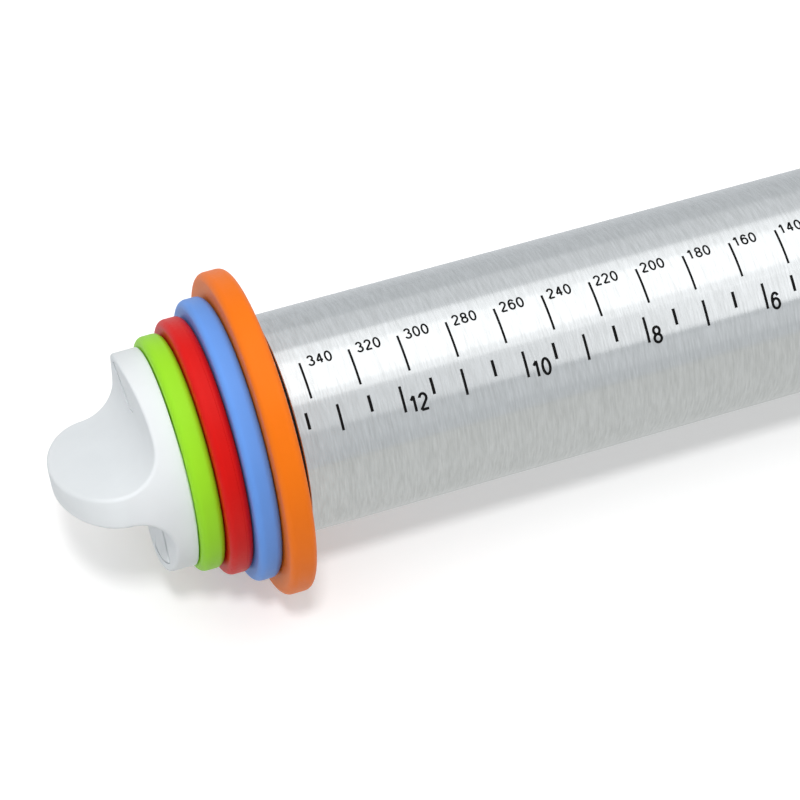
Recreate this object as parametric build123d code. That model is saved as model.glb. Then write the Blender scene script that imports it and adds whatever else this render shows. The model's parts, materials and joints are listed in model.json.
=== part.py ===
"""Adjustable rolling pin: a steel tube with four thickness rings and a screw-on finger knob at each end.

Millimetres. X runs along the pin, Z is up, and the origin is the middle of the tube.
Each end is drawn once in its own frame and placed twice: z outwards along the pin, measured from the face
of the knob that clamps the rings, x along the knob's fin and y across it.
"""
import os
from math import cos, radians, sin

from build123d import *

# Roller tube, a stock inch-and-three-quarter tube
TUBE_DIAMETER = 44.45
TUBE_LENGTH = 349.7
TUBE_WALL = 1.0
TUBE_EDGE = 0.25

# Thickness rings from the tube outwards
RING_DIAMETERS = {"orange": 66.0, "blue": 57.5, "red": 52.1, "green": 47.8}
RING_WIDTHS = {"orange": 5.5, "blue": 4.9, "red": 4.9, "green": 4.9}
RING_GAP = 0.1
RING_EDGE = 1.5
RING_BORE_EDGE = 0.4
RING_BORE_RADIUS = 14.4

# Knob cap: a round plug with a domed end, scooped on two sides so that a fin is left
KNOB_RADIUS = 22.2
KNOB_HEIGHT = 23.0
BACK_EDGE = 0.8
FIN_TIP_HALF = 2.7
FIN_ROOT_HALF = 3.3
SCOOP_RADIUS = 7.6
SCOOP_FLOOR = 4.7
RIM_HEIGHT = 5.8
SCOOP_EDGE = 0.7
KNOB_WALL = 2.0
KNOB_TURN = 29.0

# Back of the knob cap, where the stem's disc sits
DISC_RADIUS = 20.7
DISC_THICKNESS = 1.4
DISC_CLEARANCE = 0.1

# Latch windows in the scoops, with the stem's tabs in them
WINDOW_SHIFT = -1.5
WINDOW_INNER_HALF = 4.2
WINDOW_OUTER_HALF = 6.0
WINDOW_INNER = 10.7
WINDOW_OUTER = 20.6
WINDOW_CORNER = 4.0
TAB_GAP = 0.35
TAB_SHORT = 1.6
TAB_DROP = 0.05

# Knob stem
STEM_RADIUS = 14.0
STEM_WALL = 2.6
THREAD_LENGTH = 16.0
STEM_LEAD = 0.8

# End bush
BUSH_CLEARANCE = 0.1
BUSH_FLANGE = 2.05
BUSH_FLANGE_RADIUS = 21.9
BUSH_LENGTH = 24.0
BUSH_SKIRT = 1.8
BUSH_FACE = 2.5
BUSH_SLEEVE_WALL = 2.6
BUSH_DEPTH = 18.5
BUSH_FLOOR = 2.0
BUSH_RIBS = 6
BUSH_RIB_WIDTH = 1.8

DOME_START = SCOOP_FLOOR + SCOOP_RADIUS
TUBE_RADIUS = TUBE_DIAMETER / 2
TUBE_BORE = TUBE_RADIUS - TUBE_WALL
STACK_LENGTH = sum(RING_WIDTHS.values()) + RING_GAP * (len(RING_WIDTHS) + 1)
KNOB_FACE_X = TUBE_LENGTH / 2 + BUSH_FLANGE + STACK_LENGTH
FAR = 60.0


def end_frames():
    """Frames of the two ends: the same knob at both, one turned half round the vertical."""
    turn = radians(KNOB_TURN)
    left = Plane((-KNOB_FACE_X, 0, 0), x_dir=(0, -cos(turn), sin(turn)), z_dir=(-1, 0, 0))
    right = Plane((KNOB_FACE_X, 0, 0), x_dir=(0, cos(turn), sin(turn)), z_dir=(1, 0, 0))
    return {"left": left, "right": right}


def roller_tube():
    """Open tube along X with its sharp mouth edges taken off."""
    with BuildPart() as tube:
        with BuildSketch(Plane.YZ):
            Circle(TUBE_RADIUS)
            Circle(TUBE_BORE, mode=Mode.SUBTRACT)
        extrude(amount=TUBE_LENGTH / 2, both=True)
        chamfer(tube.edges().filter_by(GeomType.CIRCLE), TUBE_EDGE)
    return tube.part


def thickness_ring(colour, base):
    """Flat ring with a rounded rim, its tube side at the base."""
    with BuildPart() as ring:
        with BuildSketch(Plane.XY.offset(base)):
            Circle(RING_DIAMETERS[colour] / 2)
            Circle(RING_BORE_RADIUS, mode=Mode.SUBTRACT)
        extrude(amount=RING_WIDTHS[colour])
        edges = ring.edges().filter_by(GeomType.CIRCLE).group_by(SortBy.RADIUS)
        fillet(edges[-1], RING_EDGE)
        fillet(edges[0], RING_BORE_EDGE)
    return ring.part


def scoop_section():
    """Section of one finger scoop, in the plane across the fin: down the fin, round, and out to the rim."""
    foot = FIN_ROOT_HALF + SCOOP_RADIUS
    with BuildSketch(Plane.YZ) as section:
        with BuildLine():
            side = Line((FIN_TIP_HALF, KNOB_HEIGHT + 1), (FIN_ROOT_HALF, SCOOP_FLOOR + SCOOP_RADIUS))
            bend = TangentArc(side @ 1, (foot, SCOOP_FLOOR), tangent=side % 1)
            floor = TangentArc(bend @ 1, (KNOB_RADIUS, RIM_HEIGHT), tangent=bend % 1)
            Polyline(floor @ 1, (FAR, RIM_HEIGHT), (FAR, FAR), (FIN_TIP_HALF, FAR), side @ 0)
        make_face()
    return section.sketch


def finger_scoops():
    """The two scoops as solids, run right across the knob."""
    scoop = extrude(scoop_section(), amount=FAR, both=True)
    return [scoop, scoop.rotate(Axis.Z, 180)]


def domed_plug():
    """Round plug with a half-elliptic dome, before it is scooped."""
    with BuildPart() as plug:
        with BuildSketch(Plane.YZ):
            with BuildLine():
                foot = (KNOB_RADIUS - BACK_EDGE, 0)
                wall = Polyline((0, 0), foot, (KNOB_RADIUS, BACK_EDGE), (KNOB_RADIUS, DOME_START))
                EllipticalCenterArc((0, DOME_START), KNOB_RADIUS, KNOB_HEIGHT - DOME_START, arc_size=90)
                Line((0, KNOB_HEIGHT), wall @ 0)
            make_face()
        revolve(axis=Axis.Z)
    return plug.part


def fin_hollow():
    """Slot that cores the fin out from behind, one wall inside its outline."""
    inner = KNOB_RADIUS - KNOB_WALL
    with BuildPart() as slot:
        with BuildSketch(Plane.XZ):
            with BuildLine():
                EllipticalCenterArc((0, DOME_START), inner, KNOB_HEIGHT - DOME_START - KNOB_WALL, arc_size=180)
                Polyline((-inner, DOME_START), (-inner, 0), (inner, 0), (inner, DOME_START))
            make_face()
        extrude(amount=FIN_ROOT_HALF - KNOB_WALL, both=True)
    return slot.part


def latch_shape(short=0.0):
    """Outline of one latch window: a U beside the scoop's middle, flaring out to an arc just inside the rim.

    One of its sides can be set in, as a tab that stops short of the window has it.
    """
    near = WINDOW_SHIFT - WINDOW_INNER_HALF + short
    far = WINDOW_SHIFT + WINDOW_INNER_HALF
    spread = WINDOW_OUTER_HALF - WINDOW_INNER_HALF
    with BuildSketch() as shape:
        with BuildLine():
            inner = Line((near, WINDOW_INNER), (far, WINDOW_INNER))
            Polyline(inner @ 1, (far + spread, WINDOW_OUTER), (near - spread, WINDOW_OUTER), inner @ 0)
        make_face()
        fillet(shape.vertices().group_by(Axis.Y)[0], WINDOW_CORNER)
        Circle(WINDOW_OUTER, mode=Mode.INTERSECT)
    return shape.sketch


def knob_cap():
    """Domed plug, scooped, edges softened, hollowed behind, with the two latch windows cut through."""
    window = extrude(latch_shape(), amount=FAR)
    scoops = finger_scoops()
    with BuildPart() as cap:
        add(domed_plug())
        add(scoops, mode=Mode.SUBTRACT)
        fillet(cap.edges().filter_by(GeomType.BSPLINE), SCOOP_EDGE)
        Cylinder(DISC_RADIUS + DISC_CLEARANCE, 2 * DISC_THICKNESS, mode=Mode.SUBTRACT)
        add(fin_hollow(), mode=Mode.SUBTRACT)
        add([window, window.rotate(Axis.Z, 180)], mode=Mode.SUBTRACT)
    return cap.part


def latch_tabs():
    """The two tabs in the latch windows, each with a wider gap on one side and its top level with the scoop floor."""
    outline = offset(latch_shape(TAB_SHORT), amount=-TAB_GAP)
    scoop = finger_scoops()[0]
    tab = extrude(outline, amount=DOME_START) - Pos(0, 0, -TAB_DROP) * scoop
    return [tab, tab.rotate(Axis.Z, 180)]


def knob_stem():
    """Disc behind the cap with its two latch tabs, and the hollow screw stem."""
    length = STACK_LENGTH + THREAD_LENGTH
    tabs = latch_tabs()
    with BuildPart() as stem:
        with BuildSketch():
            Circle(DISC_RADIUS)
        extrude(amount=DISC_THICKNESS)
        add(tabs)
        with BuildSketch():
            Circle(STEM_RADIUS)
            Circle(STEM_RADIUS - STEM_WALL, mode=Mode.SUBTRACT)
        extrude(amount=-length)
        mouth = stem.edges().filter_by(GeomType.CIRCLE).group_by(Axis.Z)[0]
        chamfer(mouth.sort_by(SortBy.RADIUS)[-1], STEM_LEAD)
    return stem.part


def end_bush():
    """Moulded bush in the tube's mouth: a flange that the rings bear on, skirt, blind screw sleeve and ribs."""
    bore = STEM_RADIUS + BUSH_CLEARANCE
    sleeve = bore + BUSH_SLEEVE_WALL
    skirt = TUBE_BORE - BUSH_SKIRT
    mouth = -STACK_LENGTH - BUSH_FLANGE
    with BuildPart() as bush:
        with BuildSketch(Plane.XY.offset(mouth)):
            Circle(TUBE_BORE)
        extrude(amount=-BUSH_LENGTH)
        with BuildSketch(Plane.XY.offset(mouth)):
            Circle(BUSH_FLANGE_RADIUS)
        extrude(amount=BUSH_FLANGE)
        with BuildSketch(Plane.XY.offset(mouth - BUSH_FACE)):
            Circle(skirt)
            Circle(sleeve, mode=Mode.SUBTRACT)
            with PolarLocations(0, BUSH_RIBS):
                Rectangle(TUBE_BORE, BUSH_RIB_WIDTH, align=(Align.MIN, Align.CENTER), mode=Mode.SUBTRACT)
        extrude(amount=-BUSH_LENGTH, mode=Mode.SUBTRACT)
        with BuildSketch(Plane.XY.offset(mouth - BUSH_DEPTH - BUSH_FLOOR)):
            Circle(skirt)
        extrude(amount=-BUSH_LENGTH, mode=Mode.SUBTRACT)
        with BuildSketch(Plane.XY.offset(-STACK_LENGTH)):
            Circle(bore)
        extrude(amount=-BUSH_FLANGE - BUSH_DEPTH, mode=Mode.SUBTRACT)
    return bush.part


def main():
    os.makedirs("parts", exist_ok=True)
    pieces = {"roller_tube": roller_tube()}
    shared = {"knob_cap": knob_cap(), "knob_stem": knob_stem(), "end_bush": end_bush()}
    base = RING_GAP - STACK_LENGTH
    for colour, width in RING_WIDTHS.items():
        shared[f"{colour}_ring"] = thickness_ring(colour, base)
        base += width + RING_GAP
    for side, frame in end_frames().items():
        for name, solid in shared.items():
            pieces[f"{side}_{name}"] = frame.location * solid
    for name, solid in pieces.items():
        export_step(solid, f"parts/{name}.step")


main()
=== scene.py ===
"""Adjustable rolling pin, dressed: brushed tube with its printed scale, thickness rings and finger knobs.

Metres. X runs along the pin, -Y is the front and Z is up. Each end is worked out once in the knob's own
directions, v along the fin, w across it and u outwards from the knob's back face, and is placed at both ends.
"""
import json
import math

import bmesh
import bpy
import numpy as np
from mathutils import Matrix, Vector

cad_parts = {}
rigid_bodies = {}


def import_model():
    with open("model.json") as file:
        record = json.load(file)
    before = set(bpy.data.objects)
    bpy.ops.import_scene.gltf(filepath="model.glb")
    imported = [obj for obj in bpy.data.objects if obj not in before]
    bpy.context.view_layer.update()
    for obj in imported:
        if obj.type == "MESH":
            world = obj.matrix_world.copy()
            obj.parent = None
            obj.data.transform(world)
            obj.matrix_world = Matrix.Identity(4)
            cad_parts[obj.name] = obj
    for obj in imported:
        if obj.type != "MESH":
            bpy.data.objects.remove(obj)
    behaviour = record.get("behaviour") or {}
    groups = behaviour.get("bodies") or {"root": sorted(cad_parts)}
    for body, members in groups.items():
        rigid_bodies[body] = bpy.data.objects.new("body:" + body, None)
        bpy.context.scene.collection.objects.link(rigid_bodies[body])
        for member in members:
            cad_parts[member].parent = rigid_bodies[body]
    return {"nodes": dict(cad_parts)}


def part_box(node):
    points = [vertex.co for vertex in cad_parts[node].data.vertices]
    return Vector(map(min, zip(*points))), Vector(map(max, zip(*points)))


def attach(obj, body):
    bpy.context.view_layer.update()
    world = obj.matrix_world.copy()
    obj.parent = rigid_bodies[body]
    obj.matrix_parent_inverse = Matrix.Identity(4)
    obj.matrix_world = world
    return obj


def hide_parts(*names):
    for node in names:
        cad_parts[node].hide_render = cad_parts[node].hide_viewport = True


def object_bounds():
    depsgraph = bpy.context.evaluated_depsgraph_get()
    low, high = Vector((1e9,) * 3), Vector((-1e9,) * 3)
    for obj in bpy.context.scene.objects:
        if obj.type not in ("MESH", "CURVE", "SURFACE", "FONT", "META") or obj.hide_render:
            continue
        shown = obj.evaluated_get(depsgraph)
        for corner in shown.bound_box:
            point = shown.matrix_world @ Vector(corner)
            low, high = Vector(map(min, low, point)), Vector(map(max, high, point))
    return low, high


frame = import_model()
cad_low, cad_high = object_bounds()

MM = 0.001
SIDES = {"left": -1.0, "right": 1.0}

# Places and outer sizes that the frame gives
_, tube_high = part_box("roller_tube")
cap_low, cap_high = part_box("right_knob_cap")
_, bush_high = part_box("right_end_bush")
TUBE_RADIUS = tube_high.z
TUBE_HALF = tube_high.x
KNOB_FACE = cap_low.x
STACK_LENGTH = cap_low.x - bush_high.x
KNOB_HEIGHT = cap_high.x - cap_low.x
FLOOR_LEVEL = cad_low.z

# Roller tube
TUBE_WALL = 1.0 * MM
TUBE_EDGE = 0.25 * MM
TUBE_SEGMENTS = 288

# Thickness rings, with the mould parting groove in the rim of the red ones
RING_BORE = 14.4 * MM
RING_EDGE = 1.5 * MM
RING_BORE_EDGE = 0.4 * MM
RING_SEGMENTS = 256
PARTING_DEPTH = 0.06 * MM
PARTING_WIDTH = 0.25 * MM
PARTING_SHARE = 0.7

# Knob cap
KNOB_RADIUS = 22.2 * MM
KNOB_TURN = math.radians(29.0)
BACK_EDGE = 0.3 * MM
FIN_TIP_HALF = 2.7 * MM
FIN_ROOT_HALF = 3.3 * MM
SCOOP_RADIUS = 7.6 * MM
SCOOP_FLOOR = 4.7 * MM
RIM_HEIGHT = 5.8 * MM
SCOOP_EDGE = 0.7 * MM
FLANK_OVERRUN = 1.0 * MM
DOME_START = SCOOP_FLOOR + SCOOP_RADIUS
DOME_RISE = KNOB_HEIGHT - DOME_START

# Sections of the knob cap: stretches of lean in degrees with the sections in each, then the points along one
SECTION_LEANS = ((0, 66, 42), (66.4, 83, 46), (84, 90, 7))
BACK_POINTS = 10
WALL_POINTS = 20
FLANK_POINTS = 120
FLOOR_POINTS = 600
SCOOP_POINTS = 64
TOP_POINTS = 20

# Knob stem: disc behind the cap, latch tabs in the cap's windows, threaded stem
DISC_RADIUS = 20.7 * MM
DISC_THICKNESS = 1.4 * MM
DISC_CLEARANCE = 0.1 * MM
WINDOW_SHIFT = -1.5 * MM
WINDOW_INNER_HALF = 4.2 * MM
WINDOW_OUTER_HALVES = (8.5 * MM, 6.0 * MM)
WINDOW_INNER = 10.7 * MM
WINDOW_OUTER = 20.6 * MM
WINDOW_CORNER = 4.0 * MM
WINDOW_ARC_POINTS = 24
TAB_GAP = 0.15 * MM
TAB_SHORT = 2.2 * MM
TAB_DROP = 0.05 * MM
TAB_EDGE = 0.25 * MM
STEM_RADIUS = 14.0 * MM
STEM_WALL = 2.6 * MM
STEM_LEAD = 0.8 * MM
STEM_CORNER = 0.1 * MM
STEM_SEGMENTS = 160
THREAD_LENGTH = 16.0 * MM
THREAD_DEPTH = 1.0 * MM
THREAD_PITCH = 4.0 * MM
THREAD_STEPS = 120
THREAD_WAVE_MIDDLE = 0.5
THREAD_WAVE_SWING = 1.1

# Printed scale: a mark stands half its number from the middle of its row, and angles are measured at the
# middle of the tube, upwards from its front
PRINT_SKEW = math.radians(0.39)
PRINT_PIVOT = math.radians(60.0)
MM_MIDDLE = -0.6 * MM
MM_MARK_TOP = math.radians(82.3)
MM_MARK_FOOT = math.radians(62.8)
MM_MARK_WIDTH = 0.46 * MM
MM_STEP = 20
MM_LAST = 340
MM_FIGURE_BASE = math.radians(79.3)
MM_FIGURE_GAP = 0.3 * MM
MM_FIGURE_DRIFT = 0.0085
MM_FIGURE_LEAST_GAP = 0.8 * MM
MM_FIGURE_PITCH = 1.74 * MM
MM_FIGURE_SIZE = (1.10 * MM, 2.06 * MM)
MM_FIGURE_STROKE = 0.38 * MM
INCH = 25.4 * MM
INCH_MIDDLE = -1.1 * MM
INCH_MARK_TOP = math.radians(56.6)
INCH_MARK_FOOT = math.radians(43.2)
HALF_INCH_MARK_FOOT = math.radians(48.2)
INCH_MARK_WIDTH = 0.54 * MM
HALF_INCH_MARK_WIDTH = 0.60 * MM
INCH_LAST = 13.5
INCH_FIGURE_STEP = 2
INCH_FIGURE_BASE = math.radians(42.2)
INCH_FIGURE_GAP = 1.2 * MM
INCH_FIGURE_PITCH = 2.0 * MM
INCH_FIGURE_SIZE = (1.45 * MM, 3.1 * MM)
INCH_FIGURE_STROKE = 0.54 * MM
INK_HEIGHT = 0.02 * MM
INK_ROOT = 0.05 * MM

# Plastics: each colour with its cloudier shade, then how satin and how shiny they are
RING_COLOURS = {
    "orange": ((0.97, 0.20, 0.005), (0.94, 0.19, 0.004)),
    "blue": ((0.15, 0.36, 0.90), (0.14, 0.345, 0.87)),
    "red": ((0.74, 0.006, 0.004), (0.71, 0.005, 0.003)),
    "green": ((0.35, 0.79, 0.022), (0.33, 0.76, 0.020)),
}
RING_SATIN = 0.42
RING_SHINE = 0.2
KNOB_WHITE = ((0.85, 0.885, 0.905), (0.82, 0.855, 0.875))
KNOB_SATIN = 0.38
KNOB_SHINE = 0.3
# End bushes: near-black as painted shade, so that their faces in the slot between the orange ring and the
# tube end show as a dark line
BUSH_PAINTED_SHADE = ((0.010, 0.009, 0.009), (0.007, 0.007, 0.007))
BUSH_SATIN = 0.55
BUSH_SHINE = 0.12
CLOUDS_PER_METRE = 90.0
SKIN_GRAINS_PER_METRE = 1600.0
SATIN_SWING = 0.05
SKIN_BUMP = 0.02
SKIN_BUMP_DEPTH = 0.1 * MM

# Steel: its darker and brighter streaks, streaks per metre along X, Y and Z, and the share of the fine ones
STEEL_SHADES = ((0.60, 0.605, 0.60), (0.74, 0.745, 0.745))
STEEL_ROUGHNESS = (0.25, 0.22)
STEEL_ANISOTROPY = 0.95
FINE_STREAKS = (2500.0, 260.0, 260.0)
FINE_STREAK_SHARE = 0.8
BROAD_STREAKS = (700.0, 45.0, 45.0)
STREAK_BUMP = 0.02
STREAK_BUMP_DEPTH = 0.02 * MM

# Ink: its blacker and paler patches
INK_SHADES = ((0.004, 0.004, 0.004), (0.012, 0.012, 0.012))
INK_ROUGHNESS = (0.6, 0.75)
INK_SHINE = 0.05
INK_PATCHES_PER_METRE = 2500.0

# Range that most of a noise lies in
NOISE_LOW = 0.3
NOISE_HIGH = 0.7

# Camera of the photograph, image taken as 800 x 800
EYE = Vector((-0.27561, -0.36305, 0.45935))
AIM = Vector((-0.14905, -0.00076, -0.00187))
CAMERA_ROLL = math.radians(-0.498)
CAMERA_LENS = 134.84
SENSOR_WIDTH = 36.0
CAMERA_NEAR = 0.01

# Floor: its grey as a reflector, as the camera sees it and as shiny pieces mirror it, the light it adds for
# the last two, and the tints of what they mirror of it in front of the pin and behind it
FLOOR_HALF = 1.2
FLOOR_GREY = 0.72
FLOOR_SHOWN = 0.82
FLOOR_LIFT = 0.345
FLOOR_MIRRORED = 0.20
FLOOR_MIRRORED_LIFT = 0.54
FLOOR_MIRRORED_TINT = (0.965, 1.0, 0.985)
FLOOR_BEHIND_TINT = (0.925, 0.985, 1.04)

# Room: its brightness over the pin, what it gains towards its ends and how late, and what is mirrored of it
ROOM_MIDDLE = 0.27
ROOM_ENDS = 0.5
ROOM_ENDS_POWER = 4.0
ROOM_MIRRORED = (0.683, 0.717, 0.745)

# Working values of the mesh code
MERGE_DISTANCE = 1e-7
SHARP_ANGLE = math.radians(35.0)
STEP_FOR_SLOPE = 1e-6
LEAST_STEEPNESS = 0.1


def grid_mesh(name, points, close_rows=False):
    """Quads between neighbouring points of a grid. Each row is closed, and the last row can join the first.

    The two grid parameters, rows first, are kept as the UV map.
    """
    rows, columns = points.shape[:2]
    row, column = np.meshgrid(
        np.arange(rows if close_rows else rows - 1),
        np.arange(columns),
        indexing="ij",
    )
    corner_row = np.stack([row, row, row + 1, row + 1], -1).reshape(-1, 4)
    corner_column = np.stack([column, column + 1, column + 1, column], -1).reshape(-1, 4)
    faces = (corner_row % rows) * columns + corner_column % columns
    mesh = bpy.data.meshes.new(name)
    mesh.from_pydata(points.reshape(-1, 3).tolist(), [], faces.tolist())
    places = np.stack([corner_row / rows, corner_column / columns], -1)
    layer = mesh.uv_layers.new(name="UVMap")
    layer.uv.foreach_set("vector", places.astype(np.float32).ravel())
    return mesh


def finish_mesh(mesh):
    """Merges the doubled points of poles and seams, turns every face outwards and shades it smooth."""
    shape = bmesh.new()
    shape.from_mesh(mesh)
    bmesh.ops.remove_doubles(shape, verts=shape.verts, dist=MERGE_DISTANCE)
    bmesh.ops.dissolve_degenerate(shape, edges=shape.edges, dist=MERGE_DISTANCE)
    bmesh.ops.recalc_face_normals(shape, faces=shape.faces)
    shape.to_mesh(mesh)
    shape.free()
    mesh.shade_smooth()
    mesh.set_sharp_from_angle(angle=SHARP_ANGLE)
    return mesh


def joined(name, meshes):
    """One mesh of several, as they lie."""
    shape = bmesh.new()
    for mesh in meshes:
        shape.from_mesh(mesh)
    whole = bpy.data.meshes.new(name)
    shape.to_mesh(whole)
    shape.free()
    return finish_mesh(whole)


def place(name, mesh, material, body, slot, *nodes):
    """Finishes a piece: its mesh, its material, the body that carries it and the nodes that it stands for."""
    piece = bpy.data.objects.new(name, mesh)
    bpy.context.scene.collection.objects.link(piece)
    mesh.materials.clear()
    mesh.materials.append(material)
    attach(piece, body)
    if nodes:
        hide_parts(*nodes)


def rounded_outline(corners, radii, steps=9, support=0.04 * MM):
    """Closed outline whose corners are turned by arcs.

    Each arc starts a tangent length, radius times the tangent of half the turn, before its corner, and swings
    the start about a centre square to the incoming side. A point just before and after each arc keeps the
    straight stretches flat when they are shaded.
    """
    corners = np.asarray(corners, float)
    radii = np.asarray(radii, float)[:, None]
    arriving = corners - np.roll(corners, 1, 0)
    leaving = np.roll(corners, -1, 0) - corners
    arriving /= np.linalg.norm(arriving, axis=1, keepdims=True)
    leaving /= np.linalg.norm(leaving, axis=1, keepdims=True)
    across = arriving[:, :1] * leaving[:, 1:] - arriving[:, 1:] * leaving[:, :1]
    along = (arriving * leaving).sum(1, keepdims=True)
    turn = np.arctan2(across, along)
    start = corners - arriving * radii * np.tan(np.abs(turn) / 2)
    square = np.stack([-arriving[:, 1], arriving[:, 0]], -1) * np.sign(turn)
    centre = start + square * radii
    swing = turn * np.linspace(0, 1, steps)
    arm = start - centre
    bend = np.stack([
        centre[:, :1] + arm[:, :1] * np.cos(swing) - arm[:, 1:] * np.sin(swing),
        centre[:, 1:] + arm[:, :1] * np.sin(swing) + arm[:, 1:] * np.cos(swing),
    ], -1)
    before = (start - arriving * support)[:, None]
    after = bend[:, -1:] + (leaving * support)[:, None]
    return np.concatenate([before, bend, after], 1).reshape(-1, 2)


def spun(outline, segments):
    """Outline of (along, radius) carried round the X axis."""
    angle = np.linspace(0, 2 * np.pi, segments, endpoint=False)
    along, radius = outline[:, :1], outline[:, 1:]
    return np.stack([
        np.broadcast_to(along, (len(outline), segments)),
        -radius * np.cos(angle),
        radius * np.sin(angle),
    ], -1)


def roller_tube():
    """Open tube: its wall's section, with the mouth edges taken off, carried round the axis."""
    bore = TUBE_RADIUS - TUBE_WALL
    corners = [(-TUBE_HALF, bore), (TUBE_HALF, bore), (TUBE_HALF, TUBE_RADIUS), (-TUBE_HALF, TUBE_RADIUS)]
    outline = rounded_outline(corners, [TUBE_EDGE] * 4, steps=4)
    return finish_mesh(grid_mesh("roller_tube", spun(outline, TUBE_SEGMENTS), close_rows=True))


def thickness_ring(node, parting):
    """Ring: a round-cornered section carried round the axis, with a fine groove in its rim if parted."""
    low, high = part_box(node)
    rim = high.z
    corners = [(low.x, RING_BORE), (high.x, RING_BORE), (high.x, rim), (low.x, rim)]
    radii = [RING_BORE_EDGE, RING_BORE_EDGE, RING_EDGE, RING_EDGE]
    if parting:
        share = PARTING_SHARE if high.x < 0 else 1 - PARTING_SHARE
        middle = low.x + (high.x - low.x) * share
        half = PARTING_WIDTH / 2
        groove = [(middle + half, rim), (middle, rim - PARTING_DEPTH), (middle - half, rim)]
        corners = corners[:3] + groove + corners[3:]
        radii = radii[:3] + [PARTING_WIDTH] * 3 + radii[3:]
    outline = rounded_outline(corners, radii, support=0.01 * MM)
    return finish_mesh(grid_mesh(node, spun(outline, RING_SEGMENTS), close_rows=True))


def tangent_arc(start, heading, end):
    """Centre, radius and last heading of the arc that leaves start along heading and reaches end.

    The centre lies square to the heading, at half the squared chord over the chord's part that way.
    """
    chord = end - start
    square = np.array([-heading[1], heading[0]])
    radius = chord @ chord / (2 * (chord @ square))
    last = 2 * (chord @ heading) / (chord @ chord) * chord - heading
    return start + radius * square, radius, last


# Section of a scoop in (w, u): straight flank of the fin, bend at its foot, shallow floor out to the rim
FLANK_TOP = np.array([FIN_TIP_HALF, KNOB_HEIGHT + FLANK_OVERRUN])
FLANK_FOOT = np.array([FIN_ROOT_HALF, DOME_START])
BEND_FOOT = np.array([FIN_ROOT_HALF + SCOOP_RADIUS, SCOOP_FLOOR])
RIM_POINT = np.array([KNOB_RADIUS, RIM_HEIGHT])
FLANK_HEADING = (FLANK_FOOT - FLANK_TOP) / np.linalg.norm(FLANK_FOOT - FLANK_TOP)
BEND_CENTRE, BEND_RADIUS, FLOOR_HEADING = tangent_arc(FLANK_FOOT, FLANK_HEADING, BEND_FOOT)
FLOOR_CENTRE, FLOOR_RADIUS, _ = tangent_arc(BEND_FOOT, FLOOR_HEADING, RIM_POINT)


def scoop_height(w):
    """Height of the scoop outside the flank: the lower half of the bend's circle, then of the floor's."""
    bend = BEND_CENTRE[1] - np.sqrt(np.maximum(BEND_RADIUS ** 2 - (w - BEND_CENTRE[0]) ** 2, 0))
    floor = FLOOR_CENTRE[1] - np.sqrt(FLOOR_RADIUS ** 2 - (w - FLOOR_CENTRE[0]) ** 2)
    return np.where(w < BEND_FOOT[0], bend, floor)


def scoop_air(w, u):
    """Distance into the open scoop from its surface, negative in the plastic.

    Above the bend it is measured square to the flank, and further out from the centres of the two arcs.
    """
    flank = (w - FLANK_FOOT[0]) * -FLANK_HEADING[1] + (u - FLANK_FOOT[1]) * FLANK_HEADING[0]
    bend = BEND_RADIUS - np.hypot(w - BEND_CENTRE[0], u - BEND_CENTRE[1])
    floor = FLOOR_RADIUS - np.hypot(w - FLOOR_CENTRE[0], u - FLOOR_CENTRE[1])
    on_flank = (w - FLANK_FOOT[0]) * FLANK_HEADING[0] + (u - FLANK_FOOT[1]) * FLANK_HEADING[1] < 0
    on_floor = (w - BEND_FOOT[0]) * FLOOR_HEADING[0] + (u - BEND_FOOT[1]) * FLOOR_HEADING[1] > 0
    return np.where(on_flank, flank, np.where(on_floor, floor, bend))


def dome_height(v, w):
    """Height of the half-elliptic dome over a point of the knob's plan, and of its start outside the plan."""
    share = np.maximum(1 - (v ** 2 + w ** 2) / KNOB_RADIUS ** 2, 0)
    return DOME_START + DOME_RISE * np.sqrt(share)


def plug_air(v, w, u):
    """Distance outside the unscooped plug: the greatest of those to wall or dome, back edge and back."""
    radius = np.hypot(v, w)
    rise = np.maximum(u - DOME_START, 0)
    level = np.hypot(radius / KNOB_RADIUS, rise / DOME_RISE)
    slope = np.hypot(radius / KNOB_RADIUS ** 2, rise / DOME_RISE ** 2)
    wall = level * (level - 1) / np.maximum(slope, 1.0)
    back_edge = (radius - KNOB_RADIUS + BACK_EDGE - u) / math.sqrt(2)
    return np.maximum(np.maximum(wall, back_edge), -u)


def knob_air(points):
    """Distance outside the scooped knob: the greater of plug's and scoop's, joined as on a round edge."""
    v, w, u = points[..., 0], points[..., 1], points[..., 2]
    plug = plug_air(v, w, u)
    scoop = scoop_air(np.abs(w), u)
    corner = np.hypot(np.maximum(plug + SCOOP_EDGE, 0), np.maximum(scoop + SCOOP_EDGE, 0))
    return np.minimum(np.maximum(plug, scoop), -SCOOP_EDGE) + corner


def settled(points, distance, rounds=10):
    """Points moved onto the surface where the distance is nought, each along the distance's slope."""
    for _ in range(rounds):
        value = distance(points)
        slope = np.zeros_like(points)
        for axis in range(3):
            shift = np.zeros(3)
            shift[axis] = STEP_FOR_SLOPE
            slope[..., axis] = (distance(points + shift) - distance(points - shift)) / (2 * STEP_FOR_SLOPE)
        steepness = np.maximum((slope ** 2).sum(-1), LEAST_STEEPNESS)
        points = points - slope * (value / steepness)[..., None]
    return points


def eased(count):
    """Numbers from 0 to 1, closer together towards both ends."""
    return 0.5 - 0.5 * np.cos(np.pi * np.linspace(0, 1, count))


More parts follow.
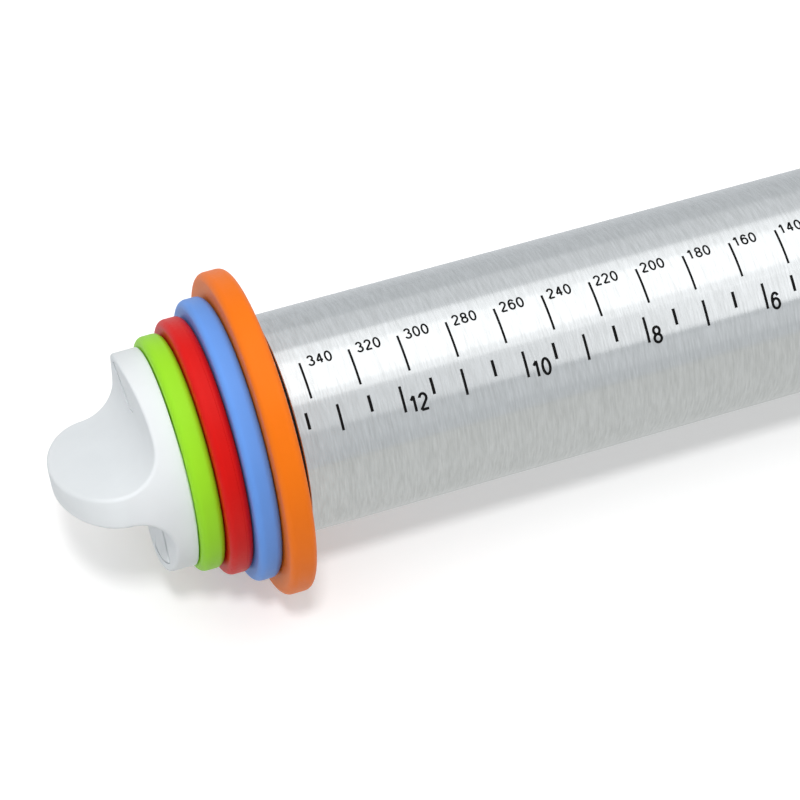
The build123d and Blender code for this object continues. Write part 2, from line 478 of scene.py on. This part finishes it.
def knob_sections():
    """Closed sections of the knob across its fin, one for each place along it, as a grid of (v, w, u).

    A half section runs out along the back, up the wall to the scoop's rim, in along the scoop and up the
    flank to the dome, and over the dome to the middle. The stretch of the scoop that each section holds is
    where its curve lies inside the wall and under the dome.
    """
    lean = np.radians(np.concatenate([np.linspace(*stretch) for stretch in SECTION_LEANS]))
    lean = np.concatenate([-lean[:0:-1], lean])[:, None]
    v = KNOB_RADIUS * np.sin(lean)
    wall = KNOB_RADIUS * np.cos(lean)
    flank = FLANK_TOP + np.linspace(0, 1, FLANK_POINTS, endpoint=False)[:, None] * (FLANK_FOOT - FLANK_TOP)
    out = FIN_ROOT_HALF + (KNOB_RADIUS - FIN_ROOT_HALF) * np.linspace(0, 1, FLOOR_POINTS) ** 2
    curve = np.concatenate([flank, np.stack([out, scoop_height(out)], -1)])
    run = np.concatenate([[0], np.cumsum(np.linalg.norm(np.diff(curve, axis=0), axis=1))])
    under_dome = curve[:, 1] <= dome_height(v, curve[:, 0])
    first = run[np.argmax(under_dome, 1)][:, None]
    last = np.maximum(np.interp(wall, curve[:, 0], run), first)
    at = last + (first - last) * eased(SCOOP_POINTS)
    scoop_w = np.minimum(np.interp(at, run, curve[:, 0]), wall)
    scoop_u = np.minimum(np.interp(at, run, curve[:, 1]), dome_height(v, scoop_w))
    back_w = wall * np.linspace(0, 1, BACK_POINTS)
    rise = eased(WALL_POINTS)[1:-1]
    wall_u = scoop_u[:, :1] * rise
    wall_w = np.broadcast_to(wall, wall_u.shape)
    top_w = scoop_w[:, -1:] * (1 - eased(TOP_POINTS)[1:])
    half_w = np.concatenate([back_w, wall_w, scoop_w, top_w], 1)
    half_u = np.concatenate([np.zeros_like(back_w), wall_u, scoop_u, dome_height(v, top_w)], 1)
    w = np.concatenate([half_w, -half_w[:, -2:0:-1]], 1)
    u = np.concatenate([half_u, half_u[:, -2:0:-1]], 1)
    return np.stack([np.broadcast_to(v, w.shape), w, u], -1)


def latch_outline(inset, short=0.0):
    """Outline of a latch window in (v, w), drawn in by an inset: a U beside the middle that flares to an arc.

    Each side is a straight line, base plus flare times w, run on to the arc's circle. The side towards -v
    flares more, and can be set in further, as a tab that stops short of its window has it.
    """
    inner = WINDOW_INNER + inset
    radius = WINDOW_OUTER - inset
    halves = []
    reaches = []
    for set_in, outer_half in zip((short + WINDOW_SHIFT, -WINDOW_SHIFT), WINDOW_OUTER_HALVES):
        flare = (outer_half - WINDOW_INNER_HALF) / (WINDOW_OUTER - WINDOW_INNER)
        base = WINDOW_INNER_HALF - set_in - inset * math.hypot(1, flare) - WINDOW_INNER * flare
        outer = (-base * flare + math.sqrt((1 + flare ** 2) * radius ** 2 - base ** 2)) / (1 + flare ** 2)
        halves.append(base + inner * flare)
        reaches.append(math.atan2(base + outer * flare, outer))
    swing = np.linspace(reaches[1], -reaches[0], WINDOW_ARC_POINTS)
    rim = np.stack([radius * np.sin(swing), radius * np.cos(swing)], -1)
    corners = np.concatenate([[(-halves[0], inner), (halves[1], inner)], rim])
    radii = [WINDOW_CORNER - inset] * 2 + [0.0] * len(rim)
    whole = rounded_outline(corners, radii, steps=12)
    keep = np.linalg.norm(whole - np.roll(whole, 1, 0), axis=1) > MERGE_DISTANCE
    return whole[keep]


def prism(name, outline, bottom, top):
    """Straight-sided solid on an outline in (v, w), closed by one face at each end."""
    count = len(outline)
    levels = np.array([bottom, top])
    walls = np.concatenate([
        np.broadcast_to(outline, (2, count, 2)),
        np.broadcast_to(levels[:, None, None], (2, count, 1)),
    ], -1)
    near = np.arange(count)
    far = np.roll(near, -1)
    sides = np.stack([near, far, far + count, near + count], -1).tolist()
    ends = [near[::-1].tolist(), (near + count).tolist()]
    mesh = bpy.data.meshes.new(name)
    mesh.from_pydata(walls.reshape(-1, 3).tolist(), [], sides + ends)
    return mesh


def cut(mesh, cutters):
    """The mesh with the cutters' room taken out of it."""
    target = bpy.data.objects.new("cut_target", mesh)
    scene_objects = bpy.context.scene.collection.objects
    scene_objects.link(target)
    tools = []
    for cutter in cutters:
        tool = bpy.data.objects.new(cutter.name, cutter)
        scene_objects.link(tool)
        step = target.modifiers.new(cutter.name, "BOOLEAN")
        step.operation = "DIFFERENCE"
        step.solver = "EXACT"
        step.object = tool
        tools.append(tool)
    bpy.context.view_layer.update()
    whole = bpy.data.meshes.new_from_object(target.evaluated_get(bpy.context.evaluated_depsgraph_get()))
    for used in [target, *tools]:
        bpy.data.objects.remove(used)
    return whole


def knob_cap():
    """Scooped knob, with the recess for the stem's disc and the two latch windows cut out of it."""
    sections = settled(knob_sections(), knob_air)
    solid = finish_mesh(grid_mesh("knob_cap", sections))
    angle = np.linspace(0, 2 * np.pi, RING_SEGMENTS, endpoint=False)
    round_outline = (DISC_RADIUS + DISC_CLEARANCE) * np.stack([np.cos(angle), np.sin(angle)], -1)
    window = latch_outline(0.0)
    cutters = [
        prism("recess", round_outline, -DISC_THICKNESS, DISC_THICKNESS),
        prism("upper_window", window, 0.5 * DISC_THICKNESS, DOME_START),
        prism("lower_window", -window, 0.5 * DISC_THICKNESS, DOME_START),
    ]
    return finish_mesh(cut(solid, cutters))


def latch_tab(half_turn):
    """Tab in a latch window: its outline shrunk towards its middle in steps, lying just under the scoop.

    The last steps roll over a small edge and drop down the tab's wall into the disc.
    """
    outline = latch_outline(TAB_GAP, TAB_SHORT)
    middle = outline.mean(0)
    reach = np.linalg.norm(outline - middle, axis=1).mean()
    roll = np.linspace(0, np.pi / 2, 5)
    flat = np.linspace(0, 1 - TAB_EDGE / reach, 12)[:-1]
    share = np.concatenate([flat, 1 - TAB_EDGE / reach * (1 - np.sin(roll)), [1, 1]])
    drop = np.concatenate([np.zeros_like(flat), TAB_EDGE * (1 - np.cos(roll)), [0, 0]])
    plan = middle + share[:, None, None] * (outline - middle)
    height = scoop_height(plan[..., 1]) - TAB_DROP - drop[:, None]
    height[-2:] = np.array([[DISC_THICKNESS], [DISC_THICKNESS / 2]])
    foot = np.broadcast_to(np.append(middle, DISC_THICKNESS / 2), (1, len(outline), 3))
    points = np.concatenate([np.concatenate([plan, height[..., None]], -1), foot])
    points[..., :2] *= half_turn
    return grid_mesh("latch_tab", points)


def knob_stem():
    """Disc and hollow screw stem as one outline carried round u, from the disc's front to its back.

    Along the thread the radius falls by a groove that follows the angle, one pitch a turn, right-handed.
    """
    end = -STACK_LENGTH - THREAD_LENGTH
    shank = np.linspace(-STEM_CORNER, -STACK_LENGTH, 8)
    thread = np.linspace(-STACK_LENGTH, end + STEM_LEAD, THREAD_STEPS)[1:]
    bore = STEM_RADIUS - STEM_WALL
    u = np.concatenate([
        [DISC_THICKNESS, DISC_THICKNESS, DISC_THICKNESS - STEM_CORNER, 0, 0],
        shank, thread, [end, end, -STEM_CORNER, -STEM_CORNER],
    ])
    radius = np.concatenate([
        [0, DISC_RADIUS - STEM_CORNER, DISC_RADIUS, DISC_RADIUS, STEM_RADIUS],
        np.full(len(shank), STEM_RADIUS), np.full(len(thread), STEM_RADIUS),
        [STEM_RADIUS - STEM_LEAD, bore, bore, 0],
    ])
    angle = np.linspace(0, 2 * np.pi, STEM_SEGMENTS, endpoint=False)
    u, radius = u[:, None], radius[:, None]
    wave = THREAD_WAVE_MIDDLE + THREAD_WAVE_SWING * np.cos(2 * np.pi * u / THREAD_PITCH - angle)
    run_in = np.clip((-STACK_LENGTH - u) / THREAD_PITCH, 0, 1) * (radius > STEM_RADIUS - STEM_LEAD)
    around = radius - THREAD_DEPTH * run_in * (1 - np.clip(wave, 0, 1))
    points = np.stack([around * np.cos(angle), around * np.sin(angle), np.broadcast_to(u, around.shape)], -1)
    return joined("knob_stem", [grid_mesh("screw_stem", points), latch_tab(1), latch_tab(-1)])


def at_end(mesh, side):
    """Copy of an end piece carried from (v, w, u) to its end of the pin, the right one turned half round."""
    outwards = SIDES[side]
    along_fin = Vector((0, outwards * math.cos(KNOB_TURN), math.sin(KNOB_TURN)))
    across_fin = Vector((0, -outwards * math.sin(KNOB_TURN), math.cos(KNOB_TURN)))
    away = Vector((outwards, 0, 0))
    turn = Matrix((along_fin, across_fin, away)).transposed().to_4x4()
    copy = mesh.copy()
    copy.transform(Matrix.Translation(away * KNOB_FACE) @ turn)
    return copy


def line(start, end, count=12):
    """Points from one place to another."""
    return np.linspace(start, end, count)


def arc(middle, radii, start, end, count=25):
    """Points on an ellipse from one angle in degrees to another."""
    angle = np.radians(np.linspace(start, end, count))
    return np.stack([middle[0] + radii[0] * np.cos(angle), middle[1] + radii[1] * np.sin(angle)], -1)


# Figures of the scale as middle lines of their strokes, in a box from 0 to 1
FIGURES = {
    "0": [arc((0.5, 0.5), (0.5, 0.5), 0, 360, 49)],
    "1": [line((0.18, 0.74), (0.62, 1.0)), line((0.62, 1.0), (0.62, 0.0))],
    "2": [np.concatenate([arc((0.48, 0.73), (0.46, 0.27), 170, -35), line((0.02, 0.06), (0.0, 0.0), 2)]),
          line((0.0, 0.0), (1.0, 0.0))],
    "3": [arc((0.46, 0.76), (0.42, 0.24), 165, -90), arc((0.48, 0.26), (0.5, 0.26), 95, -165)],
    "4": [line((0.74, 0.0), (0.74, 1.0)), line((0.74, 1.0), (0.0, 0.3)), line((0.0, 0.3), (1.05, 0.3))],
    "6": [arc((0.5, 0.32), (0.5, 0.32), 0, 360, 49), arc((0.54, 0.46), (0.54, 0.54), 190, 40)],
    "8": [arc((0.5, 0.76), (0.43, 0.24), 0, 360, 49), arc((0.5, 0.26), (0.5, 0.26), 0, 360, 49)],
}


def stroke(path, width):
    """Ribbon of ink: a four-cornered section carried along a path of (along, around) and wrapped on the tube.

    The whole print lies a little askew. A path that ends where it starts is closed, and any other has both
    ends shut.
    """
    path = np.asarray(path, float)
    closed = np.allclose(path[0], path[-1])
    if closed:
        path = path[:-1]
        ahead = np.roll(path, -1, 0) - np.roll(path, 1, 0)
    else:
        ahead = np.gradient(path, axis=0)
    ahead /= np.linalg.norm(ahead, axis=1, keepdims=True)
    across = np.stack([ahead[:, 1], -ahead[:, 0]], -1)[:, None]
    section = np.array([(-0.5, INK_HEIGHT), (0.5, INK_HEIGHT), (0.5, -INK_ROOT), (-0.5, -INK_ROOT)])
    plan = path[:, None] + width * section[:, :1] * across
    radius = np.broadcast_to(TUBE_RADIUS + section[:, 1], plan.shape[:2])
    points = np.concatenate([plan, radius[..., None]], -1)
    if not closed:
        ends = points[[0, -1]].mean(1, keepdims=True).repeat(4, 1)
        points = np.concatenate([ends[:1], points, ends[1:]])
    along = points[..., 0] - PRINT_SKEW * (points[..., 1] - PRINT_PIVOT * TUBE_RADIUS)
    angle = (points[..., 1] + PRINT_SKEW * points[..., 0]) / TUBE_RADIUS
    wrapped = np.stack([along, -points[..., 2] * np.cos(angle), points[..., 2] * np.sin(angle)], -1)
    return grid_mesh("stroke", wrapped, close_rows=closed)


def mark(along, top, foot, width):
    """One tick, straight down the tube's side from one angle to another."""
    return stroke(line((along, top * TUBE_RADIUS), (along, foot * TUBE_RADIUS), 24), width)


def figures(number, along, gap, base, pitch, size, width):
    """The strokes of a number, its figures side by side at one pitch.

    They stand a gap away from the number's tick, on the side towards the middle of the tube.
    """
    digits = str(abs(number))
    left = along + gap
    if number > 0:
        left = along - gap - pitch * (len(digits) - 1) - size[0]
    meshes = []
    for index, digit in enumerate(digits):
        corner = np.array([left + index * pitch, base * TUBE_RADIUS])
        for path in FIGURES[digit]:
            meshes.append(stroke(corner + path * size, width))
    return meshes


def millimetre_scale():
    """Ticks every twenty, each half its number from the middle, with the number beside its upper end.

    The numbers stand a little closer to their ticks towards the middle, down to a least gap.
    """
    meshes = []
    for number in range(-MM_LAST, MM_LAST + 1, MM_STEP):
        along = MM_MIDDLE + number * MM / 2
        meshes.append(mark(along, MM_MARK_TOP, MM_MARK_FOOT, MM_MARK_WIDTH))
        gap = max(MM_FIGURE_GAP + MM_FIGURE_DRIFT * abs(along), MM_FIGURE_LEAST_GAP)
        meshes += figures(number, along, gap, MM_FIGURE_BASE, MM_FIGURE_PITCH, MM_FIGURE_SIZE,
                          MM_FIGURE_STROKE)
    return joined("millimetre_scale", meshes)


def inch_scale():
    """Ticks every half inch on the same plan, short between the inches, with the even inches numbered."""
    meshes = []
    for half in range(-int(2 * INCH_LAST), int(2 * INCH_LAST) + 1):
        along = INCH_MIDDLE + half * INCH / 4
        if half % 2:
            meshes.append(mark(along, INCH_MARK_TOP, HALF_INCH_MARK_FOOT, HALF_INCH_MARK_WIDTH))
            continue
        meshes.append(mark(along, INCH_MARK_TOP, INCH_MARK_FOOT, INCH_MARK_WIDTH))
        inches = half // 2
        if inches % INCH_FIGURE_STEP == 0:
            meshes += figures(inches, along, INCH_FIGURE_GAP, INCH_FIGURE_BASE, INCH_FIGURE_PITCH,
                              INCH_FIGURE_SIZE, INCH_FIGURE_STROKE)
    return joined("inch_scale", meshes)


class Nodes:
    """Short ways to add and join the nodes of one tree."""

    def __init__(self, tree):
        self.tree = tree

    def add(self, kind, **values):
        node = self.tree.nodes.new(kind)
        for name, value in values.items():
            setattr(node, name, value)
        return node

    def join(self, source, target):
        self.tree.links.new(source, target)

    def noise(self, vector, scale, detail=2.0, roughness=0.5):
        node = self.add("ShaderNodeTexNoise")
        node.inputs["Scale"].default_value = scale
        node.inputs["Detail"].default_value = detail
        node.inputs["Roughness"].default_value = roughness
        self.join(vector, node.inputs["Vector"])
        return node.outputs["Fac"]

    def stretched(self, vector, scale):
        node = self.add("ShaderNodeMapping")
        node.inputs["Scale"].default_value = scale
        self.join(vector, node.inputs["Vector"])
        return node.outputs["Vector"]

    def scaled(self, value, factor, base):
        """The value times a factor, plus a number or another value."""
        node = self.add("ShaderNodeMath", operation="MULTIPLY_ADD")
        self.join(value, node.inputs[0])
        node.inputs[1].default_value = factor
        if isinstance(base, float):
            node.inputs[2].default_value = base
        else:
            self.join(base, node.inputs[2])
        return node.outputs["Value"]

    def spread(self, value, low, high):
        """A noise brought to run from one number to another."""
        node = self.add("ShaderNodeMapRange")
        node.inputs["From Min"].default_value = NOISE_LOW
        node.inputs["From Max"].default_value = NOISE_HIGH
        node.inputs["To Min"].default_value = low
        node.inputs["To Max"].default_value = high
        self.join(value, node.inputs["Value"])
        return node.outputs["Result"]

    def mix(self, factor, first, second):
        node = self.add("ShaderNodeMix", data_type="RGBA")
        self.join(factor, node.inputs["Factor"])
        for source, socket in ((first, node.inputs["A"]), (second, node.inputs["B"])):
            if isinstance(source, tuple):
                socket.default_value = (*source, 1.0)
            else:
                self.join(source, socket)
        return node.outputs["Result"]


def new_material(name):
    """An empty node material with its Principled shader, ready to be wired."""
    material = bpy.data.materials.new(name)
    material.use_nodes = True
    shader = material.node_tree.nodes["Principled BSDF"]
    return material, Nodes(material.node_tree), shader


def moulded_group():
    """Moulded plastic: soft cloudy mottling of the colour, a satin that varies with it and a fine skin."""
    tree = bpy.data.node_groups.new("moulded_plastic", "ShaderNodeTree")
    face = tree.interface
    face.new_socket("Color", in_out="INPUT", socket_type="NodeSocketColor")
    face.new_socket("Shade", in_out="INPUT", socket_type="NodeSocketColor")
    face.new_socket("Satin", in_out="INPUT", socket_type="NodeSocketFloat")
    face.new_socket("Color", in_out="OUTPUT", socket_type="NodeSocketColor")
    face.new_socket("Roughness", in_out="OUTPUT", socket_type="NodeSocketFloat")
    face.new_socket("Height", in_out="OUTPUT", socket_type="NodeSocketFloat")
    nodes = Nodes(tree)
    given = nodes.add("NodeGroupInput")
    out = nodes.add("NodeGroupOutput")
    place_on_piece = nodes.add("ShaderNodeTexCoord").outputs["Object"]
    cloud = nodes.noise(place_on_piece, CLOUDS_PER_METRE, detail=3.0)
    skin = nodes.noise(place_on_piece, SKIN_GRAINS_PER_METRE)
    nodes.join(nodes.mix(nodes.spread(cloud, 0.0, 1.0), given.outputs["Color"], given.outputs["Shade"]),
               out.inputs["Color"])
    satin = nodes.add("ShaderNodeMath", operation="ADD")
    nodes.join(given.outputs["Satin"], satin.inputs[0])
    nodes.join(nodes.spread(skin, -SATIN_SWING, SATIN_SWING), satin.inputs[1])
    nodes.join(satin.outputs["Value"], out.inputs["Roughness"])
    nodes.join(skin, out.inputs["Height"])
    return tree


def moulded_plastic(name, group, color, shade, satin, shine):
    """Plastic finish from the shared group: colour and its cloudier shade, satin and shine."""
    material, nodes, shader = new_material(name)
    skin = nodes.add("ShaderNodeGroup", node_tree=group)
    skin.inputs["Color"].default_value = (*color, 1.0)
    skin.inputs["Shade"].default_value = (*shade, 1.0)
    skin.inputs["Satin"].default_value = satin
    nodes.join(skin.outputs["Color"], shader.inputs["Base Color"])
    nodes.join(skin.outputs["Roughness"], shader.inputs["Roughness"])
    relief = nodes.add("ShaderNodeBump")
    relief.inputs["Strength"].default_value = SKIN_BUMP
    relief.inputs["Distance"].default_value = SKIN_BUMP_DEPTH
    nodes.join(skin.outputs["Height"], relief.inputs["Height"])
    nodes.join(relief.outputs["Normal"], shader.inputs["Normal"])
    shader.inputs["Specular IOR Level"].default_value = shine
    return material


def brushed_steel():
    """Steel brushed round the tube: short streaks across X in colour, gloss and relief, glints along X."""
    material, nodes, shader = new_material("brushed_steel")
    place_on_piece = nodes.add("ShaderNodeTexCoord").outputs["Object"]
    fine = nodes.noise(nodes.stretched(place_on_piece, FINE_STREAKS), 1.0, roughness=0.6)
    broad = nodes.noise(nodes.stretched(place_on_piece, BROAD_STREAKS), 1.0)
    streak = nodes.scaled(broad, 1.0 - FINE_STREAK_SHARE, nodes.scaled(fine, FINE_STREAK_SHARE, 0.0))
    nodes.join(nodes.mix(nodes.spread(streak, 0.0, 1.0), *STEEL_SHADES), shader.inputs["Base Color"])
    nodes.join(nodes.spread(streak, *STEEL_ROUGHNESS), shader.inputs["Roughness"])
    relief = nodes.add("ShaderNodeBump")
    relief.inputs["Strength"].default_value = STREAK_BUMP
    relief.inputs["Distance"].default_value = STREAK_BUMP_DEPTH
    nodes.join(streak, relief.inputs["Height"])
    nodes.join(relief.outputs["Normal"], shader.inputs["Normal"])
    shader.inputs["Metallic"].default_value = 1.0
    shader.inputs["Anisotropic"].default_value = STEEL_ANISOTROPY
    tangent = nodes.add("ShaderNodeTangent", direction_type="UV_MAP", uv_map="UVMap")
    nodes.join(tangent.outputs["Tangent"], shader.inputs["Tangent"])
    return material


def printing_ink():
    """Black printed ink, a little uneven."""
    material, nodes, shader = new_material("printing_ink")
    place_on_piece = nodes.add("ShaderNodeTexCoord").outputs["Object"]
    patch = nodes.noise(place_on_piece, INK_PATCHES_PER_METRE)
    nodes.join(nodes.mix(nodes.spread(patch, 0.0, 1.0), *INK_SHADES), shader.inputs["Base Color"])
    nodes.join(nodes.spread(patch, *INK_ROUGHNESS), shader.inputs["Roughness"])
    shader.inputs["Specular IOR Level"].default_value = INK_SHINE
    return material


def make_pieces():
    """Every piece of the pin, with its finish, on the body that carries it."""
    group = moulded_group()
    white = moulded_plastic("white_plastic", group, *KNOB_WHITE, KNOB_SATIN, KNOB_SHINE)
    ring_finish = {}
    for colour, shades in RING_COLOURS.items():
        ring_finish[colour] = moulded_plastic(f"{colour}_plastic", group, *shades, RING_SATIN, RING_SHINE)
    bush_shade_finish = moulded_plastic("bush_plastic", group, *BUSH_PAINTED_SHADE, BUSH_SATIN, BUSH_SHINE)
    ink = printing_ink()
    place("tube_skin", roller_tube(), brushed_steel(), "roller", "steel", "roller_tube")
    place("millimetre_scale", millimetre_scale(), ink, "roller", "steel")
    place("inch_scale", inch_scale(), ink, "roller", "steel")
    cap = knob_cap()
    stem = knob_stem()
    for side in SIDES:
        for colour in RING_COLOURS:
            node = f"{side}_{colour}_ring"
            ring = thickness_ring(node, colour == "red")
            place(f"{node}_skin", ring, ring_finish[colour], node, f"{colour}_plastic", node)
        knob = f"{side}_knob"
        place(f"{knob}_cap_skin", at_end(cap, side), white, knob, "white_plastic", f"{knob}_cap")
        place(f"{knob}_stem_skin", at_end(stem, side), white, knob, "white_plastic", f"{knob}_stem")
        # The bushes' near-black finish is painted shade for the slot beside the orange ring
        bush_node = frame["nodes"][f"{side}_end_bush"]
        bush_node.data.materials.clear()
        bush_node.data.materials.append(bush_shade_finish)


def make_camera():
    """Camera at the photograph's place, aimed and then rolled about its line of sight."""
    data = bpy.data.cameras.new("camera")
    data.lens = CAMERA_LENS
    data.sensor_width = SENSOR_WIDTH
    data.clip_start = CAMERA_NEAR
    camera = bpy.data.objects.new("camera", data)
    bpy.context.scene.collection.objects.link(camera)
    level = (AIM - EYE).to_track_quat("-Z", "Y").to_matrix().to_4x4()
    camera.matrix_world = Matrix.Translation(EYE) @ level @ Matrix.Rotation(CAMERA_ROLL, 4, "Z")
    bpy.context.scene.camera = camera


def make_floor():
    """Pale floor that shows white to the camera and keeps the pin's shadow.

    What shiny pieces mirror of it is lit evenly, in one tint in front of the pin and another behind it.
    """
    mesh = bpy.data.meshes.new("floor")
    ways = ((-1, -1), (1, -1), (1, 1), (-1, 1))
    corners = [(x * FLOOR_HALF, y * FLOOR_HALF, FLOOR_LEVEL) for x, y in ways]
    mesh.from_pydata(corners, [], [(0, 1, 2, 3)])
    floor = bpy.data.objects.new("floor", mesh)
    bpy.context.scene.collection.objects.link(floor)
    material, nodes, shader = new_material("floor")
    shader.inputs["Roughness"].default_value = 1.0
    shader.inputs["Specular IOR Level"].default_value = 0.0
    path = nodes.add("ShaderNodeLightPath")
    seen = path.outputs["Is Camera Ray"]
    mirrored = path.outputs["Is Glossy Ray"]
    grey = nodes.scaled(seen, FLOOR_SHOWN - FLOOR_GREY, FLOOR_GREY)
    grey = nodes.scaled(mirrored, FLOOR_MIRRORED - FLOOR_GREY, grey)
    lift = nodes.scaled(mirrored, FLOOR_MIRRORED_LIFT, nodes.scaled(seen, FLOOR_LIFT, 0.0))
    nodes.join(grey, shader.inputs["Base Color"])
    where = nodes.add("ShaderNodeSeparateXYZ")
    nodes.join(nodes.add("ShaderNodeTexCoord").outputs["Object"], where.inputs["Vector"])
    behind = nodes.add("ShaderNodeMath", operation="GREATER_THAN")
    behind.inputs[1].default_value = 0.0
    nodes.join(where.outputs["Y"], behind.inputs[0])
    tint = nodes.mix(behind.outputs["Value"], FLOOR_MIRRORED_TINT, FLOOR_BEHIND_TINT)
    nodes.join(nodes.mix(mirrored, (1.0, 1.0, 1.0), tint), shader.inputs["Emission Color"])
    nodes.join(lift, shader.inputs["Emission Strength"])
    mesh.materials.append(material)


def softbox(name, elevation, spread, length, brightness, azimuth=0.0, distance=1.0, shift=0.0,
            lights=True, mirrored=True):
    """Flat lamp that faces the pin from an elevation and an azimuth off the front.

    Its height is given as the spread at which the pin sees it. It can be shifted along the pin, and be kept
    from lighting the pieces or from being mirrored in them.
    """
    around = math.radians(azimuth)
    above = math.radians(elevation)
    width = 2 * distance * math.tan(math.radians(spread) / 2)
    data = bpy.data.lights.new(name, "AREA")
    data.shape = "RECTANGLE"
    data.size = length
    data.size_y = width
    data.energy = brightness * math.pi * length * width
    lamp = bpy.data.objects.new(name, data)
    bpy.context.scene.collection.objects.link(lamp)
    level = math.cos(above)
    towards = Vector((math.sin(around) * level, -math.cos(around) * level, math.sin(above)))
    turn = towards.to_track_quat("Z", "Y").to_matrix().to_4x4()
    lamp.matrix_world = Matrix.Translation(AIM + towards * distance + Vector((shift, 0, 0))) @ turn
    lamp.visible_camera = False
    lamp.visible_diffuse = lights
    lamp.visible_glossy = mirrored


def make_lights():
    """Grey room, brighter at its ends, two nested softboxes, a key lamp and panels that the steel mirrors."""
    world = bpy.data.worlds.new("studio")
    bpy.context.scene.world = world
    world.use_nodes = True
    nodes = Nodes(world.node_tree)
    way = nodes.add("ShaderNodeSeparateXYZ")
    nodes.join(nodes.add("ShaderNodeTexCoord").outputs["Generated"], way.inputs["Vector"])
    lengthwise = nodes.add("ShaderNodeMath", operation="POWER")
    nodes.join(way.outputs["X"], lengthwise.inputs[0])
    lengthwise.inputs[1].default_value = ROOM_ENDS_POWER
    room = world.node_tree.nodes["Background"]
    room.inputs["Color"].default_value = (1.0, 1.0, 1.0, 1.0)
    nodes.join(nodes.scaled(lengthwise.outputs["Value"], ROOM_ENDS, ROOM_MIDDLE), room.inputs["Strength"])
    path = nodes.add("ShaderNodeLightPath")
    shown = room.outputs["Background"]
    for seen_by, color in (("Is Glossy Ray", ROOM_MIRRORED), ("Is Camera Ray", (1.0, 1.0, 1.0))):
        other = nodes.add("ShaderNodeBackground")
        other.inputs["Color"].default_value = (*color, 1.0)
        either = nodes.add("ShaderNodeMixShader")
        nodes.join(path.outputs[seen_by], either.inputs["Fac"])
        nodes.join(shown, either.inputs[1])
        nodes.join(other.outputs["Background"], either.inputs[2])
        shown = either.outputs["Shader"]
    nodes.join(shown, world.node_tree.nodes["World Output"].inputs["Surface"])
    softbox("wide_softbox", elevation=96, spread=61.5, length=3.0, brightness=0.61)
    softbox("inner_softbox", elevation=93, spread=38, length=3.0, brightness=0.28)
    softbox("key", elevation=66, spread=7, length=0.19, brightness=81.0, azimuth=-18, distance=1.5,
            mirrored=False)
    softbox("front_panel", elevation=50, spread=32, length=1.4, brightness=1.15, shift=1.1, lights=False)
    softbox("low_panel", elevation=20, spread=18, length=1.4, brightness=0.13, shift=1.0, lights=False)
    softbox("back_panel", elevation=140, spread=30, length=3.0, brightness=0.15, lights=False)


bpy.context.scene.view_settings.view_transform = "Standard"
make_camera()
make_pieces()
make_floor()
make_lights()
